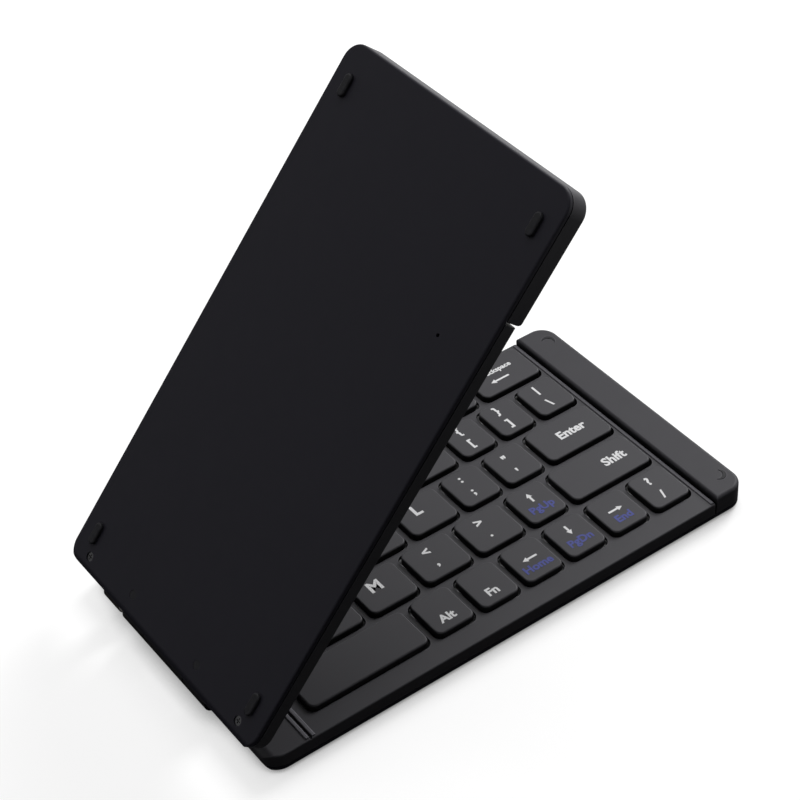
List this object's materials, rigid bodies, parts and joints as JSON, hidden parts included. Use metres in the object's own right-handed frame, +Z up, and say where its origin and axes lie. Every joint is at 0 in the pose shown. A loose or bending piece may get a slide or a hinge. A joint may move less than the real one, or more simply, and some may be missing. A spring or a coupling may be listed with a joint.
{
  "type": "folding keyboard",
  "caption": "Two-leaf folding keyboard on a central hinge, half open, with sprung keys, raised closing ends, feet, charging socket and switch.",
  "frame": {"origin": "centre of the outer face of the half that lies on the table", "axes": "+X from the hinge towards the free end of that half, +Y away from the user, +Z up through the keys"},
  "size_m": [0.152, 0.0836, 0.1241],
  "materials": {
    "outer_covers": "fine satin moulded plastic",
    "key_decks": "fine satin moulded plastic",
    "keycaps": "matt moulded plastic with light legends",
    "rubber": "matt rubber",
    "steel": "pressed sheet steel",
    "bright_steel": "nickel plated",
    "film": "clear polyester sheet",
    "dome_rubber": "soft silicone",
    "cable_film": "black coated polyimide film",
    "black_steel": "blackened steel",
    "battery_foil": "laminated foil pouch",
    "circuit_board": "green solder mask",
    "clear_plastic": "clear moulded lens",
    "controls": "matt moulded plastic",
    "legends": "printed ink"
  },
  "bodies": {
    "base": {"base_bottom_cover": "outer_covers", "base_key_frame": "key_decks", "base_end_cap": "key_decks", "base_support_plate": "steel", "base_membrane": "film", "base_dome_sheet": "dome_rubber", "base_magnets": "bright_steel", "base_bumpers": "rubber", "base_feet": "rubber", "base_screws": "black_steel", "base_screw_plugs": "rubber", "base_hinge_leaf": "black_steel", "hinge_pin": "bright_steel", "flex_cable": "cable_film"},
    "lid": {"lid_outer_cover": "outer_covers", "lid_key_frame": "key_decks", "lid_end_block": "key_decks", "lid_support_plate": "steel", "lid_membrane": "film", "lid_dome_sheet": "dome_rubber", "lid_magnets": "bright_steel", "lid_feet": "rubber", "lid_screws": "black_steel", "lid_screw_plugs": "rubber", "lid_hinge_leaf": "black_steel", "battery": "battery_foil", "controller_board": "circuit_board", "charging_socket": "steel", "status_lens": "clear_plastic"},
    "power_switch_knob": {"power_switch_knob": "controls"},
    "pairing_button": {"pairing_button": "controls"},
    "key_backspace": {"key_backspace": "keycaps"},
    "key_bracket_left": {"key_bracket_left": "keycaps"},
    "key_bracket_right": {"key_bracket_right": "keycaps"},
    "key_backslash": {"key_backslash": "keycaps"},
    "key_semicolon": {"key_semicolon": "keycaps"},
    "key_quote": {"key_quote": "keycaps"},
    "key_enter": {"key_enter": "keycaps"},
    "key_letter_l": {"key_letter_l": "keycaps"},
    "key_letter_m": {"key_letter_m": "keycaps"},
    "key_comma": {"key_comma": "keycaps"},
    "key_period": {"key_period": "keycaps"},
    "key_arrow_up": {"key_arrow_up": "keycaps"},
    "key_shift_right": {"key_shift_right": "keycaps"},
    "key_space_right": {"key_space_right": "keycaps"},
    "key_alt": {"key_alt": "keycaps"},
    "key_function": {"key_function": "keycaps"},
    "key_arrow_left": {"key_arrow_left": "keycaps"},
    "key_arrow_down": {"key_arrow_down": "keycaps"},
    "key_arrow_right": {"key_arrow_right": "keycaps"},
    "key_slash": {"key_slash": "keycaps"},
    "keys_numbers_right": {"keys_numbers_right": "keycaps"},
    "keys_top_letters_right": {"keys_top_letters_right": "keycaps"},
    "keys_home_letters_right": {"keys_home_letters_right": "keycaps"},
    "keys_bottom_letters_right": {"keys_bottom_letters_right": "keycaps"},
    "keys_numbers_left": {"keys_numbers_left": "keycaps"},
    "keys_top_letters_left": {"keys_top_letters_left": "keycaps"},
    "keys_home_letters_left": {"keys_home_letters_left": "keycaps"},
    "keys_bottom_letters_left": {"keys_bottom_letters_left": "keycaps"},
    "keys_space_row_left": {"keys_space_row_left": "keycaps"}
  },
  "joints": [
    {"name": "fold", "type": "hinge", "parent": "base", "child": "lid", "pos_m": [-0.074, 0, 0.007], "axis": [0, 1, 0], "range_deg": [-131, 49], "deforming": ["flex_cable"]},
    {"name": "power_switch", "type": "slide", "parent": "lid", "child": "power_switch_knob", "axis": [0.6561, 0, 0.7547], "range_m": [0, 0.002]},
    {"name": "pairing_press", "type": "slide", "parent": "lid", "child": "pairing_button", "axis": [-0.7547, 0, 0.6561], "range_m": [0, 0.0004], "stiffness_N_per_m": 1500, "springref_m": -0.0004},
    {"name": "key_backspace_press", "type": "slide", "parent": "base", "child": "key_backspace", "axis": [0, 0, -1], "range_m": [0, 0.0013], "stiffness_N_per_m": 250, "springref_m": -0.001, "deforming": ["base_dome_sheet"]},
    {"name": "key_bracket_left_press", "type": "slide", "parent": "base", "child": "key_bracket_left", "axis": [0, 0, -1], "range_m": [0, 0.0013], "stiffness_N_per_m": 250, "springref_m": -0.001, "deforming": ["base_dome_sheet"]},
    {"name": "key_bracket_right_press", "type": "slide", "parent": "base", "child": "key_bracket_right", "axis": [0, 0, -1], "range_m": [0, 0.0013], "stiffness_N_per_m": 250, "springref_m": -0.001, "deforming": ["base_dome_sheet"]},
    {"name": "key_backslash_press", "type": "slide", "parent": "base", "child": "key_backslash", "axis": [0, 0, -1], "range_m": [0, 0.0013], "stiffness_N_per_m": 250, "springref_m": -0.001, "deforming": ["base_dome_sheet"]},
    {"name": "key_semicolon_press", "type": "slide", "parent": "base", "child": "key_semicolon", "axis": [0, 0, -1], "range_m": [0, 0.0013], "stiffness_N_per_m": 250, "springref_m": -0.001, "deforming": ["base_dome_sheet"]},
    {"name": "key_quote_press", "type": "slide", "parent": "base", "child": "key_quote", "axis": [0, 0, -1], "range_m": [0, 0.0013], "stiffness_N_per_m": 250, "springref_m": -0.001, "deforming": ["base_dome_sheet"]},
    {"name": "key_enter_press", "type": "slide", "parent": "base", "child": "key_enter", "axis": [0, 0, -1], "range_m": [0, 0.0013], "stiffness_N_per_m": 250, "springref_m": -0.001, "deforming": ["base_dome_sheet"]},
    {"name": "key_letter_l_press", "type": "slide", "parent": "base", "child": "key_letter_l", "axis": [0, 0, -1], "range_m": [0, 0.0013], "stiffness_N_per_m": 250, "springref_m": -0.001, "deforming": ["base_dome_sheet"]},
    {"name": "key_letter_m_press", "type": "slide", "parent": "base", "child": "key_letter_m", "axis": [0, 0, -1], "range_m": [0, 0.0013], "stiffness_N_per_m": 250, "springref_m": -0.001, "deforming": ["base_dome_sheet"]},
    {"name": "key_comma_press", "type": "slide", "parent": "base", "child": "key_comma", "axis": [0, 0, -1], "range_m": [0, 0.0013], "stiffness_N_per_m": 250, "springref_m": -0.001, "deforming": ["base_dome_sheet"]},
    {"name": "key_period_press", "type": "slide", "parent": "base", "child": "key_period", "axis": [0, 0, -1], "range_m": [0, 0.0013], "stiffness_N_per_m": 250, "springref_m": -0.001, "deforming": ["base_dome_sheet"]},
    {"name": "key_arrow_up_press", "type": "slide", "parent": "base", "child": "key_arrow_up", "axis": [0, 0, -1], "range_m": [0, 0.0013], "stiffness_N_per_m": 250, "springref_m": -0.001, "deforming": ["base_dome_sheet"]},
    {"name": "key_shift_right_press", "type": "slide", "parent": "base", "child": "key_shift_right", "axis": [0, 0, -1], "range_m": [0, 0.0013], "stiffness_N_per_m": 250, "springref_m": -0.001, "deforming": ["base_dome_sheet"]},
    {"name": "key_space_right_press", "type": "slide", "parent": "base", "child": "key_space_right", "axis": [0, 0, -1], "range_m": [0, 0.0013], "stiffness_N_per_m": 250, "springref_m": -0.001, "deforming": ["base_dome_sheet"]},
    {"name": "key_alt_press", "type": "slide", "parent": "base", "child": "key_alt", "axis": [0, 0, -1], "range_m": [0, 0.0013], "stiffness_N_per_m": 250, "springref_m": -0.001, "deforming": ["base_dome_sheet"]},
    {"name": "key_function_press", "type": "slide", "parent": "base", "child": "key_function", "axis": [0, 0, -1], "range_m": [0, 0.0013], "stiffness_N_per_m": 250, "springref_m": -0.001, "deforming": ["base_dome_sheet"]},
    {"name": "key_arrow_left_press", "type": "slide", "parent": "base", "child": "key_arrow_left", "axis": [0, 0, -1], "range_m": [0, 0.0013], "stiffness_N_per_m": 250, "springref_m": -0.001, "deforming": ["base_dome_sheet"]},
    {"name": "key_arrow_down_press", "type": "slide", "parent": "base", "child": "key_arrow_down", "axis": [0, 0, -1], "range_m": [0, 0.0013], "stiffness_N_per_m": 250, "springref_m": -0.001, "deforming": ["base_dome_sheet"]},
    {"name": "key_arrow_right_press", "type": "slide", "parent": "base", "child": "key_arrow_right", "axis": [0, 0, -1], "range_m": [0, 0.0013], "stiffness_N_per_m": 250, "springref_m": -0.001, "deforming": ["base_dome_sheet"]},
    {"name": "key_slash_press", "type": "slide", "parent": "base", "child": "key_slash", "axis": [0, 0, -1], "range_m": [0, 0.0013], "stiffness_N_per_m": 250, "springref_m": -0.001, "deforming": ["base_dome_sheet"]},
    {"name": "keys_numbers_right_press", "type": "slide", "parent": "base", "child": "keys_numbers_right", "axis": [0, 0, -1], "range_m": [0, 0.0013], "stiffness_N_per_m": 1750, "springref_m": -0.001, "deforming": ["base_dome_sheet"]},
    {"name": "keys_top_letters_right_press", "type": "slide", "parent": "base", "child": "keys_top_letters_right", "axis": [0, 0, -1], "range_m": [0, 0.0013], "stiffness_N_per_m": 1250, "springref_m": -0.001, "deforming": ["base_dome_sheet"]},
    {"name": "keys_home_letters_right_press", "type": "slide", "parent": "base", "child": "keys_home_letters_right", "axis": [0, 0, -1], "range_m": [0, 0.0013], "stiffness_N_per_m": 750, "springref_m": -0.001, "deforming": ["base_dome_sheet"]},
    {"name": "keys_bottom_letters_right_press", "type": "slide", "parent": "base", "child": "keys_bottom_letters_right", "axis": [0, 0, -1], "range_m": [0, 0.0013], "stiffness_N_per_m": 500, "springref_m": -0.001, "deforming": ["base_dome_sheet"]},
    {"name": "keys_numbers_left_press", "type": "slide", "parent": "lid", "child": "keys_numbers_left", "axis": [-0.7547, 0, 0.6561], "range_m": [0, 0.0013], "stiffness_N_per_m": 1750, "springref_m": -0.001, "deforming": ["lid_dome_sheet"]},
    {"name": "keys_top_letters_left_press", "type": "slide", "parent": "lid", "child": "keys_top_letters_left", "axis": [-0.7547, 0, 0.6561], "range_m": [0, 0.0013], "stiffness_N_per_m": 1500, "springref_m": -0.001, "deforming": ["lid_dome_sheet"]},
    {"name": "keys_home_letters_left_press", "type": "slide", "parent": "lid", "child": "keys_home_letters_left", "axis": [-0.7547, 0, 0.6561], "range_m": [0, 0.0013], "stiffness_N_per_m": 1500, "springref_m": -0.001, "deforming": ["lid_dome_sheet"]},
    {"name": "keys_bottom_letters_left_press", "type": "slide", "parent": "lid", "child": "keys_bottom_letters_left", "axis": [-0.7547, 0, 0.6561], "range_m": [0, 0.0013], "stiffness_N_per_m": 1250, "springref_m": -0.001, "deforming": ["lid_dome_sheet"]},
    {"name": "keys_space_row_left_press", "type": "slide", "parent": "lid", "child": "keys_space_row_left", "axis": [-0.7547, 0, 0.6561], "range_m": [0, 0.0013], "stiffness_N_per_m": 1250, "springref_m": -0.001, "deforming": ["lid_dome_sheet"]}
  ]
}
